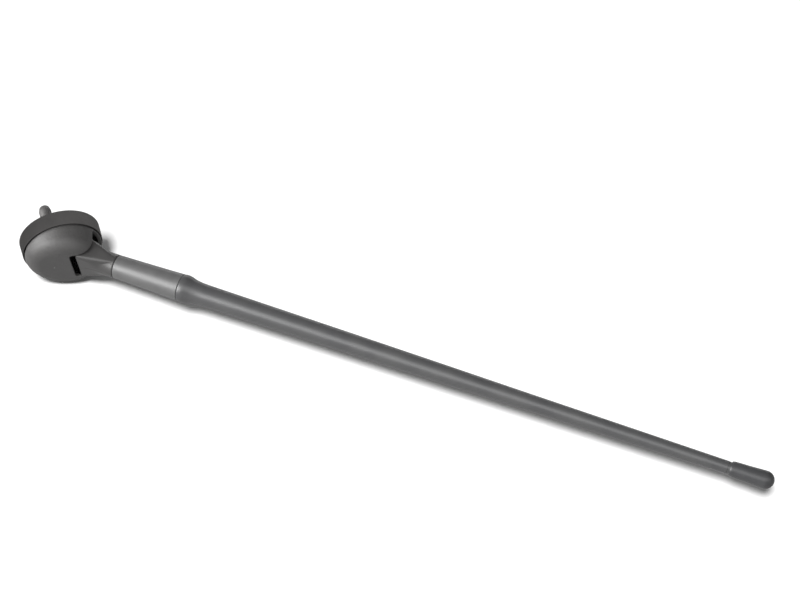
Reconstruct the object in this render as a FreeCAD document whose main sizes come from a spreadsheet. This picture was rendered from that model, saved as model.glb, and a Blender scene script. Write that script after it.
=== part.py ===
import FreeCAD, Part
import Sketcher
import math
import os

# Roof antenna with a tilting rubber mast.
# Own frame: +Z is the roof normal, the roof plane is z = 0, the origin is on the
# axis of the mounting stud, and the mast leans towards +X. Lengths in mm.
# The round base is centred disc_offset in front of the stud. "Along the mast"
# means the local frame of the mast: origin at the joint of foot and ferrule,
# local +Z along the mast towards its tip, local +X towards the roof side.

doc = FreeCAD.newDocument("RoofAntenna")
sheet = doc.addObject("Spreadsheet::Sheet", "Params")

PARAMS = [
    # round base
    ("disc_offset", 4.2),
    ("gasket_r", 22.5), ("gasket_lip_r", 22.3), ("gasket_top", 9.2), ("gasket_bore_r", 21.8),
    ("gasket_floor", 2.0), ("gasket_hole_r", 16.4), ("gasket_round", 0.7), ("gasket_lip_round", 0.22),
    ("plate_r", 21.6), ("plate_top", 5.0),
    ("cover_r", 21.5), ("cover_knee_z", 11.0), ("cover_cone", 0.24), ("cover_slant", 0.27), ("cover_top", 22.4), ("crown_round", 8.8),
    ("cover_in_r", 19.6), ("cover_in_knee_z", 10.8), ("cover_in_top", 20.5), ("crown_in_round", 6.8), ("knee_round", 7.0),
    ("slot_front", 2.4), ("slot_half", 10.4), ("slot_corner", 2.0), ("slot_floor", 10.7), ("slot_reach", 24.0),
    ("post_ring", 16.4), ("post_r", 2.4), ("post_top", 16.0), ("post_hole_r", 1.2), ("post_hole_top", 13.0),
    ("screw_r", 1.2), ("screw_clear_r", 1.45), ("screw_head_r", 2.4), ("screw_head_h", 1.5),
    ("screw_sink_r", 2.7), ("screw_sink", 1.7), ("screw_tip", 11.6),
    # mounting stud and its fixings
    ("stud_r", 3.45), ("stud_top_r", 3.0), ("stud_clear_r", 3.1), ("stud_nose_r", 2.6), ("stud_nose_end", 20.9), ("stud_taper", 17.6),
    ("stud_nose_round", 1.9),
    ("stud_flange_r", 6.5), ("stud_flange_h", 1.6), ("stud_sink_r", 6.65), ("stud_top", 12.0),
    ("nut_flats", 11.0), ("nut_h", 3.4), ("lock_r", 5.6), ("lock_h", 0.6),
    # hinge
    ("bracket_top", 7.2), ("bracket_back", 10.2), ("bracket_front", 13.0), ("ear_out", 10.9), ("ear_in", 8.95), ("ear_r", 4.2),
    ("pivot_x", 8.5), ("pivot_z", 12.8), ("pivot_r", 2.0), ("pivot_bore_r", 2.05), ("pivot_hole_r", 2.03),
    ("pivot_head_r", 3.2), ("pivot_head_h", 1.2), ("spring_r", 3.4), ("spring_h", 0.4), ("spring_bore_r", 2.1),
    ("friction_r", 4.0), ("friction_bore_r", 2.1), ("friction_h", 0.9), ("friction_gap", 0.05),
    # mast line
    ("lean", 39.84), ("joint_x", 25.565), ("joint_z", 31.134),
    # foot
    ("foot_back", 20.0), ("foot_knee", 11.0), ("foot_half", 10.1), ("foot_knee_half", 8.6), ("foot_high", 7.4), ("foot_knee_high", 6.3),
    ("foot_edge", 1.0), ("foot_knee_edge", 2.6), ("foot_end_r", 6.61),
    ("tongue_half", 7.95), ("tongue_r", 4.4),
    ("insert_r", 4.0), ("insert_len", 10.5), ("insert_bore_r", 2.5),
    # mast
    ("seal_h", 0.45), ("seal_r", 6.35), ("seal_bore_r", 4.2),
    ("mast_stud_r", 2.45), ("mast_stud_low", 9.6), ("mast_stud_high", 14.0),
    ("ferrule_low_r", 6.6), ("ferrule_mid_r", 7.1), ("ferrule_mid", 22.5), ("ferrule_high_r", 7.62), ("ferrule_end", 39.5),
    ("rod_r", 1.5), ("rod_low", 16.0), ("rod_high", 356.5),
    ("winding_r", 1.8), ("winding_low", 41.0), ("winding_high", 354.5),
    ("sheath_low", 39.65), ("sheath_root_r", 7.6), ("sheath_end", 360.4), ("sheath_spigot_r", 3.15),
    ("cap_low", 350.4), ("cap_end", 373.3), ("cap_mouth_r", 3.65), ("cap_shoulder", 352.6), ("cap_shoulder_r", 4.05),
    ("cap_club", 367.6), ("cap_club_r", 4.66), ("cap_round", 4.6),
]
for row, (name, value) in enumerate(PARAMS, start=1):
    sheet.set("A%d" % row, name)
    sheet.set("B%d" % row, "%r" % value)
    sheet.setAlias("B%d" % row, name)
doc.recompute()


def val(e):
    """Number for a sum of sheet names and numbers, written with spaces, such as 'plate_top + 1'."""
    if not isinstance(e, str):
        return float(e)
    total, sign = 0.0, 1.0
    for word in e.split():
        if word == "+":
            sign = 1.0
        elif word == "-":
            sign = -1.0
        else:
            total += sign * (float(sheet.get(word)) if word[0].isalpha() else float(word))
            sign = 1.0
    return total


def bound(e):
    """The same sum as an expression on the sheet."""
    if not isinstance(e, str):
        return "%r" % float(e)
    return " ".join("Params." + w if w[0].isalpha() else w for w in e.split())


def new_body(name):
    body = doc.addObject("PartDesign::Body", name)
    body.Label = name
    return body


def new_sketch(body, name, role, offset=None):
    sk = body.newObject("Sketcher::SketchObject", name)
    base = [o for o in body.Origin.OriginFeatures if o.Role == role][0]
    sk.AttachmentSupport = [(base, "")]
    sk.MapMode = "FlatFace"
    if offset is not None:
        sk.AttachmentOffset = FreeCAD.Placement(FreeCAD.Vector(0, 0, val(offset)), FreeCAD.Rotation())
        sk.setExpression("AttachmentOffset.Base.z", bound(offset))
    return sk


def fix(sk, kind, geo, pos, e):
    """Ties one coordinate of a point to the sheet."""
    v = val(e)
    if abs(v) < 1e-9:
        sk.addConstraint(Sketcher.Constraint("PointOnObject", geo, pos, -2 if kind == "DistanceX" else -1))
        return
    i = sk.addConstraint(Sketcher.Constraint(kind, -1, 1, geo, pos, v))
    sk.setExpression("Constraints[%d]" % i, bound(e))


def outline(sk, corners):
    """Closed outline. A corner is (x, y) or (x, y, (mid_x, mid_y), radius): an arc to the next corner.
    A half circle is tied by its centre's height instead, given as [height]."""
    n = len(corners)
    pts = [FreeCAD.Vector(val(c[0]), val(c[1]), 0) for c in corners]
    first = sk.GeometryCount
    ends = []
    for i, c in enumerate(corners):
        a, b = pts[i], pts[(i + 1) % n]
        if len(c) > 2:
            m = FreeCAD.Vector(c[2][0], c[2][1], 0)
            g = sk.addGeometry(Part.Arc(a, m, b), False)
            ends.append((1, 2) if (sk.Geometry[g].StartPoint - a).Length < 1e-6 else (2, 1))
        else:
            g = sk.addGeometry(Part.LineSegment(a, b), False)
            ends.append((1, 2))
    for i in range(n):
        j = (i + 1) % n
        sk.addConstraint(Sketcher.Constraint("Coincident", first + i, ends[i][1], first + j, ends[j][0]))
    for i, c in enumerate(corners):
        fix(sk, "DistanceX", first + i, ends[i][0], c[0])
        fix(sk, "DistanceY", first + i, ends[i][0], c[1])
    for i, c in enumerate(corners):
        if len(c) > 3 and isinstance(c[3], list):
            fix(sk, "DistanceY", first + i, 3, c[3][0])
        elif len(c) > 3:
            k = sk.addConstraint(Sketcher.Constraint("Radius", first + i, val(c[3])))
            sk.setExpression("Constraints[%d]" % k, bound(c[3]))


def circle(sk, x, y, r):
    g = sk.addGeometry(Part.Circle(FreeCAD.Vector(val(x), val(y), 0), FreeCAD.Vector(0, 0, 1), val(r)), False)
    k = sk.addConstraint(Sketcher.Constraint("Radius", g, val(r)))
    sk.setExpression("Constraints[%d]" % k, bound(r))
    fix(sk, "DistanceX", g, 3, x)
    fix(sk, "DistanceY", g, 3, y)


def revolve(body, corners, name="profile"):
    sk = new_sketch(body, body.Name + "_" + name, "XZ_Plane")
    outline(sk, corners)
    rev = body.newObject("PartDesign::Revolution", body.Name + "_turned")
    rev.Profile = sk
    rev.ReferenceAxis = (sk, ["V_Axis"])
    rev.Angle = 360.0
    doc.recompute()
    return rev


def symmetric(feature):
    if hasattr(feature, "SideType"):
        feature.SideType = "Symmetric"
    else:
        feature.Midplane = True


def pad(body, sk, length, both=False, up=True):
    p = body.newObject("PartDesign::Pad", sk.Name + "_pad")
    p.Profile = sk
    p.Length = val(length)
    p.setExpression("Length", bound(length))
    if both:
        symmetric(p)
    else:
        p.Reversed = not up
    doc.recompute()
    return p


def cut(body, sk, length, both=False, up=False):
    before = body.Shape.Volume
    p = body.newObject("PartDesign::Pocket", sk.Name + "_cut")
    p.Profile = sk
    p.Length = val(length)
    p.setExpression("Length", bound(length))
    if both:
        symmetric(p)
    else:
        p.Reversed = up
    doc.recompute()
    if not body.Shape.Volume < before - 1e-6:
        raise RuntimeError("%s removes nothing" % p.Name)
    return p


def round_rings(body, base, rings, radius, kind="Fillet"):
    """Rounds the ring edges of a turned shape, each given as (radius, height)."""
    names = []
    for i, e in enumerate(base.Shape.Edges):
        c = e.Curve
        if not isinstance(c, Part.Circle):
            continue
        for r, z in rings:
            if abs(c.Radius - val(r)) < 0.02 and abs(c.Center.z - val(z)) < 0.02 and abs(c.Axis.z) > 0.99:
                names.append("Edge%d" % (i + 1))
    if len(names) != len(rings):
        raise RuntimeError("%s: %d edges for %d rings" % (body.Name, len(names), len(rings)))
    f = body.newObject("PartDesign::" + kind, body.Name + "_round%d" % len(body.Group))
    f.Base = (base, names)
    prop = "Radius" if kind == "Fillet" else "Size"
    setattr(f, prop, val(radius))
    f.setExpression(prop, bound(radius))
    doc.recompute()
    return f


nodes = []


def keep(obj):
    nodes.append(obj)
    return obj


# ---------------------------------------------------------------- round base
disc_place = FreeCAD.Placement(FreeCAD.Vector(val("disc_offset"), 0, 0), FreeCAD.Rotation())

# Rubber gasket: flat ring on the roof, wall round the plate, rounded lip at the cover.
b = keep(new_body("base_gasket"))
rev = revolve(b, [("gasket_hole_r", 0), ("gasket_r", 0), ("gasket_lip_r", "gasket_top"), ("gasket_bore_r", "gasket_top"),
                  ("gasket_bore_r", "gasket_floor"), ("gasket_hole_r", "gasket_floor")])
rev = round_rings(b, rev, [("gasket_r", 0)], "gasket_round")
rev = round_rings(b, rev, [("gasket_lip_r", "gasket_top")], "gasket_lip_round")
b.Placement = disc_place

# Insulating plate with the sinks of the stud flange and of the three cover screws.
b = keep(new_body("base_plate"))
revolve(b, [(0, "gasket_floor"), ("plate_r", "gasket_floor"), ("plate_r", "plate_top"), (0, "plate_top")])
sk = new_sketch(b, "plate_stud_hole", "XY_Plane", "plate_top")
circle(sk, "0 - disc_offset", 0, "stud_clear_r")
cut(b, sk, 10)
sk = new_sketch(b, "plate_stud_sink", "XY_Plane", "gasket_floor + stud_flange_h")
circle(sk, "0 - disc_offset", 0, "stud_sink_r")
cut(b, sk, 5)
post_turn = [math.radians(a) for a in (180.0, 85.0, -85.0)]
posts = [(val("post_ring") * math.cos(a), val("post_ring") * math.sin(a)) for a in post_turn]
sk = new_sketch(b, "plate_screw_holes", "XY_Plane", "plate_top")
for x, y in posts:
    circle(sk, x, y if abs(y) > 1e-9 else 0, "screw_clear_r")
cut(b, sk, 10)
sk = new_sketch(b, "plate_screw_sinks", "XY_Plane", "gasket_floor + screw_sink")
for x, y in posts:
    circle(sk, x, y if abs(y) > 1e-9 else 0, "screw_sink_r")
cut(b, sk, 5)
b.Placement = disc_place

# Cover: upright skirt in the gasket, steep cone, flat crown that rises towards the mast, slot for the foot.
def hood(name, skirt_r, knee_z, top, edge_round):
    """Solid under a cone and a slanted crown, the edge between them rounded."""
    body = new_body(name)
    cone, slant, high = val("cover_cone"), val("cover_slant"), 34.0
    revolve(body, [(0, "plate_top"), (skirt_r, "plate_top"), (skirt_r, knee_z), (val(skirt_r) - cone * (high - val(knee_z)), high), (0, high)])
    above = new_sketch(body, name + "_slant", "XZ_Plane")
    outline(above, [(-30, val(top) - 30 * slant), (30, val(top) + 30 * slant), (30, 45), (-30, 45)])
    slice_off = cut(body, above, 90, both=True)
    rim = []
    for n, e in enumerate(slice_off.Shape.Edges):
        pts = e.discretize(9)
        if all(abs(q.z - val(top) - slant * q.x) < 1e-3 for q in pts) and e.Length > 5:
            rim.append("Edge%d" % (n + 1))
    f = body.newObject("PartDesign::Fillet", name + "_crown_edge")
    f.Base = (slice_off, rim)
    f.Radius = val(edge_round)
    f.setExpression("Radius", bound(edge_round))
    doc.recompute()
    return body, f


full, crown = hood("cover_outside", "cover_r", "cover_knee_z", "cover_top", "crown_round")
round_rings(full, crown, [("cover_r", "cover_knee_z")], "knee_round")
hollow, crown = hood("cover_inside", "cover_in_r", "cover_in_knee_z", "cover_in_top", "crown_in_round")
shell = doc.addObject("Part::Cut", "cover_shell")
shell.Base, shell.Tool = full, hollow
doc.recompute()
b = keep(new_body("base_cover"))
b.BaseFeature = shell
doc.recompute()
sk = new_sketch(b, "cover_posts", "XY_Plane", "plate_top")
for x, y in posts:
    circle(sk, x, y if abs(y) > 1e-9 else 0, "post_r")
pad(b, sk, "post_top - plate_top")
sk = new_sketch(b, "cover_post_holes", "XY_Plane", "plate_top")
for x, y in posts:
    circle(sk, x, y if abs(y) > 1e-9 else 0, "post_hole_r")
cut(b, sk, "post_hole_top - plate_top", up=True)
sk = new_sketch(b, "cover_slot", "XY_Plane", "slot_floor")
xf, w, rc = val("slot_front"), val("slot_half"), val("slot_corner")
q = rc * (1 - math.sqrt(0.5))
outline(sk, [("slot_front + slot_corner", "0 - slot_half"), ("slot_reach", "0 - slot_half"), ("slot_reach", "slot_half"),
             ("slot_front + slot_corner", "slot_half", (xf + q, w - q), "slot_corner"),
             ("slot_front", "slot_half - slot_corner"),
             ("slot_front", "slot_corner - slot_half", (xf + q, q - w), "slot_corner")])
cut(b, sk, 20, up=True)
b.Placement = disc_place

# Three self-tapping screws, heads sunk in the plate.
screws = []
for i, (x, y) in enumerate(posts):
    shank = doc.addObject("Part::Cylinder", "screw_shank%d" % i)
    shank.setExpression("Radius", bound("screw_r"))
    shank.setExpression("Height", bound("screw_tip - gasket_floor - screw_sink + 0.5"))
    shank.Placement = FreeCAD.Placement(FreeCAD.Vector(x + val("disc_offset"), y, val("gasket_floor + screw_sink - 0.5")), FreeCAD.Rotation())
    head = doc.addObject("Part::Cylinder", "screw_head%d" % i)
    head.setExpression("Radius", bound("screw_head_r"))
    head.setExpression("Height", bound("screw_head_h"))
    head.Placement = FreeCAD.Placement(FreeCAD.Vector(x + val("disc_offset"), y, val("gasket_floor + screw_sink - screw_head_h")), FreeCAD.Rotation())
    whole = doc.addObject("Part::Fuse", "screw_blank%d" % i)
    whole.Base, whole.Tool = shank, head
    slot = doc.addObject("Part::Box", "screw_slot%d" % i)
    slot.Length, slot.Width, slot.Height = 6.0, 0.7, 0.7
    slot.Placement = FreeCAD.Placement(FreeCAD.Vector(x + val("disc_offset") - 3.0, y - 0.35, val("gasket_floor + screw_sink - screw_head_h") - 0.1), FreeCAD.Rotation())
    one = doc.addObject("Part::Cut", "screw%d" % i)
    one.Base, one.Tool = whole, slot
    screws.append(one)
g = doc.addObject("Part::Compound", "cover_screws")
g.Label = "cover_screws"
g.Links = screws
keep(g)

# ---------------------------------------------------------------- mounting stud
# Stud with a flange under the plate, tapered nose with a rounded end.
b = keep(new_body("mounting_stud"))
rev = revolve(b, [(0, "0 - stud_nose_end"), ("stud_nose_r", "0 - stud_nose_end"), ("stud_r", "0 - stud_taper"), ("stud_r", "gasket_floor"),
                  ("stud_flange_r", "gasket_floor"), ("stud_flange_r", "gasket_floor + stud_flange_h"),
                  ("stud_top_r", "gasket_floor + stud_flange_h"), ("stud_top_r", "stud_top"), (0, "stud_top")])
rev = round_rings(b, rev, [("stud_nose_r", "0 - stud_nose_end")], "stud_nose_round")
round_rings(b, rev, [("stud_top_r", "stud_top")], 0.6, "Chamfer")

b = keep(new_body("stud_lock_washer"))
revolve(b, [("stud_clear_r", "bracket_top"), ("lock_r", "bracket_top"), ("lock_r", "bracket_top + lock_h"), ("stud_clear_r", "bracket_top + lock_h")])

# Hexagon nut on the stud.
b = keep(new_body("stud_nut"))
sk = new_sketch(b, "nut_hexagon", "XY_Plane", "bracket_top + lock_h")
corner = val("nut_flats") / math.sqrt(3.0)
outline(sk, [(corner * math.cos(math.radians(60 * i)), corner * math.sin(math.radians(60 * i)) if i % 3 else 0) for i in range(6)])
p = pad(b, sk, "nut_h")
sk = new_sketch(b, "nut_bore", "XY_Plane", "bracket_top + lock_h")
circle(sk, 0, 0, "stud_top_r")
cut(b, sk, 8, up=True)

# ---------------------------------------------------------------- hinge
# Cast bracket: floor on the plate and two ears for the pivot.
b = keep(new_body("hinge_bracket"))
sk = new_sketch(b, "bracket_floor", "XY_Plane", "plate_top")
outline(sk, [("0 - bracket_back", "0 - ear_out"), ("bracket_front", "0 - ear_out"), ("bracket_front", "ear_out"), ("0 - bracket_back", "ear_out")])
pad(b, sk, "bracket_top - plate_top")
sk = new_sketch(b, "bracket_ears", "XZ_Plane")
outline(sk, [("pivot_x - ear_r", "bracket_top - 1"), ("pivot_x + ear_r", "bracket_top - 1"),
             ("pivot_x + ear_r", "pivot_z", (val("pivot_x"), val("pivot_z + ear_r")), ["pivot_z"]), ("pivot_x - ear_r", "pivot_z")])
pad(b, sk, "ear_out + ear_out", both=True)
sk = new_sketch(b, "bracket_gap", "XZ_Plane")
outline(sk, [("pivot_x - ear_r - 1", "bracket_top"), ("pivot_x + ear_r + 1", "bracket_top"),
             ("pivot_x + ear_r + 1", "pivot_z + ear_r + 1"), ("pivot_x - ear_r - 1", "pivot_z + ear_r + 1")])
cut(b, sk, "ear_in + ear_in", both=True)
sk = new_sketch(b, "bracket_pivot_holes", "XZ_Plane")
circle(sk, "pivot_x", "pivot_z", "pivot_hole_r")
cut(b, sk, 40, both=True)
sk = new_sketch(b, "bracket_stud_hole", "XY_Plane", "bracket_top")
circle(sk, "0 - disc_offset", 0, "stud_clear_r")
cut(b, sk, 5)
b.Placement = disc_place


def across(name, corners, y0):
    """Turned piece on the pivot axis: its own axis runs along Y from y0."""
    body = keep(new_body(name))
    revolve(body, corners)
    body.Placement = FreeCAD.Placement(FreeCAD.Vector(val("pivot_x + disc_offset"), y0, val("pivot_z")),
                                       FreeCAD.Rotation(FreeCAD.Vector(1, 0, 0), -90))
    return body


# Pivot screw: low head on the +Y ear, its end in the -Y ear.
across("pivot_screw", [(0, 0), ("pivot_r", 0), ("pivot_r", "ear_out + ear_out + spring_h"), ("pivot_head_r", "ear_out + ear_out + spring_h"),
                       ("pivot_head_r", "ear_out + ear_out + spring_h + pivot_head_h"), (0, "ear_out + ear_out + spring_h + pivot_head_h")],
       -val("ear_out"))
across("pivot_spring_washer", [("spring_bore_r", 0), ("spring_r", 0), ("spring_r", "spring_h"), ("spring_bore_r", "spring_h")], val("ear_out"))

# Two fibre washers between foot and ears.
rings = []
for i, y0 in enumerate((val("tongue_half + friction_gap"), -val("tongue_half + friction_gap + friction_h"))):
    turn = FreeCAD.Rotation(FreeCAD.Vector(1, 0, 0), -90)
    at = FreeCAD.Vector(val("pivot_x + disc_offset"), y0, val("pivot_z"))
    disc = doc.addObject("Part::Cylinder", "friction_disc%d" % i)
    disc.setExpression("Radius", bound("friction_r"))
    disc.setExpression("Height", bound("friction_h"))
    disc.Placement = FreeCAD.Placement(at, turn)
    bore = doc.addObject("Part::Cylinder", "friction_bore%d" % i)
    bore.setExpression("Radius", bound("friction_bore_r"))
    bore.setExpression("Height", bound("friction_h"))
    bore.Placement = FreeCAD.Placement(at, turn)
    ring = doc.addObject("Part::Cut", "friction_ring%d" % i)
    ring.Base, ring.Tool = disc, bore
    rings.append(ring)
g = doc.addObject("Part::Compound", "friction_washers")
g.Label = "friction_washers"
g.Links = rings
keep(g)

# ---------------------------------------------------------------- mast frame
mast_place = FreeCAD.Placement(FreeCAD.Vector(val("joint_x + disc_offset"), 0, val("joint_z")),
                               FreeCAD.Rotation(FreeCAD.Vector(0, 1, 0), 90.0 - val("lean")))
pivot_local = mast_place.inverse().multVec(FreeCAD.Vector(val("pivot_x + disc_offset"), 0, val("pivot_z")))

# Foot: square block that runs into a round end, with a tongue on the pivot.
b = keep(new_body("swivel_foot"))


def foot_section(name, offset, half, high, edge):
    sk = new_sketch(b, name, "XY_Plane", offset)
    h, n, e = val(half), val(high), val(edge)
    q = e * (1 - math.sqrt(0.5))
    lo_h, lo_n = "0 - " + half + " + " + edge, "0 - " + high + " + " + edge
    hi_h, hi_n = half + " - " + edge, high + " - " + edge
    outline(sk, [(high, lo_h), (high, hi_h, (n - q, h - q), edge), (hi_n, half), (lo_n, half, (q - n, h - q), edge),
                 ("0 - " + high, hi_h), ("0 - " + high, lo_h, (q - n, q - h), edge), (lo_n, "0 - " + half), (hi_n, "0 - " + half, (n - q, q - h), edge)])
    return sk


back = foot_section("foot_back_outline", "0 - foot_back", "foot_half", "foot_high", "foot_edge")
knee = foot_section("foot_knee_outline", "0 - foot_knee", "foot_knee_half", "foot_knee_high", "foot_knee_edge")
end = new_sketch(b, "foot_end_outline", "XY_Plane")
r = val("foot_end_r")
turns = [-74, 74, 82, 98, 106, 254, 262, 278]
ring = []
for i, t in enumerate(turns):
    nxt = turns[(i + 1) % 8] + (360 if i == 7 else 0)
    mid = math.radians((t + nxt) / 2.0)
    ring.append((r * math.cos(math.radians(t)), r * math.sin(math.radians(t)), (r * math.cos(mid), r * math.sin(mid)), "foot_end_r"))
outline(end, ring)
loft = b.newObject("PartDesign::AdditiveLoft", "foot_block")
loft.Profile = back
loft.Sections = [knee, end]
loft.Ruled = True
doc.recompute()
px, pz = pivot_local.x, pivot_local.z
tongue = new_sketch(b, "foot_tongue", "XZ_Plane")
tr = val("tongue_r")
outline(tongue, [(px - tr, pz, (px, pz - tr), [pz]), (px + tr, pz), (px + tr, "0 - foot_back + 1.5"), (px - tr, "0 - foot_back + 1.5")])
pad(b, tongue, "tongue_half + tongue_half", both=True)
hole = new_sketch(b, "foot_pivot_bore", "XZ_Plane")
circle(hole, px, pz, "pivot_bore_r")
cut(b, hole, 40, both=True)
seat = new_sketch(b, "foot_insert_bore", "XY_Plane")
circle(seat, 0, 0, "insert_r")
cut(b, seat, "insert_len")
b.Placement = mast_place


def on_mast(name, corners):
    body = keep(new_body(name))
    rev = revolve(body, corners)
    body.Placement = mast_place
    return body, rev


# Brass insert in the foot.
on_mast("foot_insert", [("insert_bore_r", "0 - insert_len"), ("insert_r", "0 - insert_len"), ("insert_r", 0), ("insert_bore_r", 0)])
# Thin rubber ring at the joint.
on_mast("mast_seal", [("seal_bore_r", 0.02), ("seal_r", 0.02), ("seal_r", "seal_h"), ("seal_bore_r", "seal_h")])
# Threaded stud, in the ferrule's foot.
on_mast("mast_stud", [(0, "0 - mast_stud_low"), ("mast_stud_r", "0 - mast_stud_low"), ("mast_stud_r", "mast_stud_high"), (0, "mast_stud_high")])
# Ferrule: tube that widens towards the sheath, bored for the stud below and the rod above.
on_mast("mast_ferrule", [("mast_stud_r", "seal_h"), ("ferrule_low_r", "seal_h"), ("ferrule_mid_r", "ferrule_mid"), ("ferrule_high_r", "ferrule_end"),
                         ("rod_r", "ferrule_end"), ("rod_r", "rod_low"), (0, "rod_low"), (0, "mast_stud_high"), ("mast_stud_r", "mast_stud_high")])
on_mast("core_rod", [(0, "rod_low"), ("rod_r", "rod_low"), ("rod_r", "rod_high"), (0, "rod_high")])
on_mast("radiator_winding", [("rod_r", "winding_low"), ("winding_r", "winding_low"), ("winding_r", "winding_high"), ("rod_r", "winding_high")])

# Rubber sheath: rounded bulge at the ferrule, neck, long taper, spigot in the cap.
SHEATH = [(39.9, 7.66), (40.7, 7.76), (41.9, 7.8), (43.1, 7.66), (44.9, 7.2), (46.7, 6.74), (48.5, 6.46), (50.5, 6.22), (53.3, 6.12), (59.3, 6.04),
          (91.1, 5.8), (139.0, 5.42), (188.8, 4.93), (238.7, 4.36), (298.5, 3.8), (345.4, 3.34)]
on_mast("mast_sheath", [("winding_r", "sheath_low"), ("sheath_root_r", "sheath_low")] + [(rr, ss) for ss, rr in SHEATH]
        + [("sheath_spigot_r", "cap_low - 1.2"), ("sheath_spigot_r", "sheath_end"), (0, "sheath_end"), (0, "rod_high"), ("rod_r", "rod_high"),
           ("rod_r", "winding_high"), ("winding_r", "winding_high")])

# Cap: socket on the spigot, club shape, round end.
cap, rev = on_mast("tip_cap", [("sheath_spigot_r", "cap_low"), ("cap_mouth_r", "cap_low"), ("cap_shoulder_r", "cap_shoulder"),
                               (4.28, 359.9), ("cap_club_r", "cap_club"), ("cap_club_r", "cap_end"), (0, "cap_end"),
                               (0, "sheath_end"), ("sheath_spigot_r", "sheath_end")])
round_rings(cap, rev, [("cap_club_r", "cap_end")], "cap_round")

# ---------------------------------------------------------------- test and write
doc.recompute()
bad = [o.Name for o in doc.Objects if "Invalid" in o.State or "Error" in o.State]
if bad:
    raise RuntimeError("failed objects: %s" % bad)
for o in nodes:
    s = o.Shape
    if s.isNull() or not s.isValid() or not s.Solids:
        raise RuntimeError("bad shape: %s" % o.Label)
os.makedirs("parts", exist_ok=True)
for o in nodes:
    o.Shape.exportStep("parts/%s.step" % o.Label)
    bb = o.Shape.BoundBox
    print("%-22s solids %d vol %9.2f  x %7.2f %7.2f  y %7.2f %7.2f  z %7.2f %7.2f" % (
        o.Label, len(o.Shape.Solids), o.Shape.Volume, bb.XMin, bb.XMax, bb.YMin, bb.YMax, bb.ZMin, bb.ZMax))
print("pivot in mast frame", [round(c, 3) for c in pivot_local])
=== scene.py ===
import math

import bmesh
import bpy
import numpy as np
from mathutils import Matrix, Vector


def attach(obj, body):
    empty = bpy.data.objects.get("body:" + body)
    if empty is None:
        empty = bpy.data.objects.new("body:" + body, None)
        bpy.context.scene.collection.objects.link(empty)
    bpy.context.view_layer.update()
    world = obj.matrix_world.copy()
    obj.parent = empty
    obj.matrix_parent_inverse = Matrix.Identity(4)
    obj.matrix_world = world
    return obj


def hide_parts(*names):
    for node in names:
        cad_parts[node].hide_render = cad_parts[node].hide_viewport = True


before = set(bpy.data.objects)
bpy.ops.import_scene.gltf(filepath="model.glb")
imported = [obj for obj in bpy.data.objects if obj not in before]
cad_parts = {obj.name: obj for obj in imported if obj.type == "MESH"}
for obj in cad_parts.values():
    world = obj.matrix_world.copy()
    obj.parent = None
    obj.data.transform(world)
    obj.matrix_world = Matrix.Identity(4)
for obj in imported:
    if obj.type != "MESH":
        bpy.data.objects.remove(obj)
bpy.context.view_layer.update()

# Roof antenna: looks. Lengths below are in millimetres in the part's own frame and are
# turned into metres when a mesh is made.
MM = 0.001
LEAN = math.radians(39.84)
M = np.array([math.cos(LEAN), 0.0, math.sin(LEAN)])      # along the mast, towards its tip
N = np.array([-math.sin(LEAN), 0.0, math.cos(LEAN)])     # away from the roof, square to the mast
Y = np.array([0.0, 1.0, 0.0])
JOINT = np.array([29.765, 0.0, 31.134])                   # joint of foot and ferrule
PIVOT = np.array([12.7, 0.0, 12.8])
DISC = np.array([4.2, 0.0, 0.0])                         # foot of the base's axis
BASE_AXES = (np.array([1.0, 0, 0]), Y, np.array([0, 0, 1.0]))
MAST_AXES = (N, Y, M)                                    # left-handed on purpose: normals are made outward later

lit = bpy.data.collections.new("antenna_lit")


# ------------------------------------------------------------------ mesh tools
def rounded(points, steps=8, closed=False):
    """Polyline through (x, y) or (x, y, radius) points, with an arc at each corner that has a radius."""
    out, n = [], len(points)
    for i, p in enumerate(points):
        c = np.array(p[:2], float)
        r = p[2] if len(p) > 2 else 0.0
        if r <= 0 or (not closed and i in (0, n - 1)):
            out.append(c)
            continue
        a = np.array(points[i - 1][:2], float) - c
        b = np.array(points[(i + 1) % n][:2], float) - c
        a, b = a / np.linalg.norm(a), b / np.linalg.norm(b)
        half = math.acos(max(-1.0, min(1.0, float(a @ b)))) / 2
        bis = (a + b) / np.linalg.norm(a + b)
        centre = c + bis * r / math.sin(half)
        start, end = c + a * r / math.tan(half) - centre, c + b * r / math.tan(half) - centre
        turn = math.acos(max(-1.0, min(1.0, float(start @ end) / r / r)))
        for k in range(steps + 1):
            f = k / steps
            v = (math.sin((1 - f) * turn) * start + math.sin(f * turn) * end) / math.sin(turn)
            out.append(centre + v)
    return np.array(out)


def smooth_curve(points, step):
    """Curve through (x, y) points with no overshoot in y, sampled about every step in x."""
    x, y = np.array(points, float).T
    h, d = np.diff(x), np.diff(y) / np.diff(x)
    m = np.zeros(len(x))
    m[0], m[-1] = d[0], d[-1]
    for i in range(1, len(x) - 1):
        if d[i - 1] * d[i] > 0:
            w1, w2 = 2 * h[i] + h[i - 1], h[i] + 2 * h[i - 1]
            m[i] = (w1 + w2) / (w1 / d[i - 1] + w2 / d[i])
    out = []
    for i in range(len(x) - 1):
        k = max(1, int(math.ceil(h[i] / step)))
        for j in range(k):
            t = j / k
            out.append((x[i] + t * h[i],
                        (2 * t ** 3 - 3 * t ** 2 + 1) * y[i] + (t ** 3 - 2 * t ** 2 + t) * h[i] * m[i]
                        + (3 * t ** 2 - 2 * t ** 3) * y[i + 1] + (t ** 3 - t ** 2) * h[i] * m[i + 1]))
    out.append((x[-1], y[-1]))
    return np.array(out)


def rings_to_mesh(rings, closed):
    """Faces between rings of equal length. closed joins the last ring to the first."""
    n = len(rings[0])
    verts = np.concatenate(rings)
    faces = []
    count = len(rings)
    for i in range(count if closed else count - 1):
        a, b = i * n, ((i + 1) % count) * n
        for k in range(n):
            k2 = (k + 1) % n
            faces.append((a + k, a + k2, b + k2, b + k))
    return verts, faces


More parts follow.
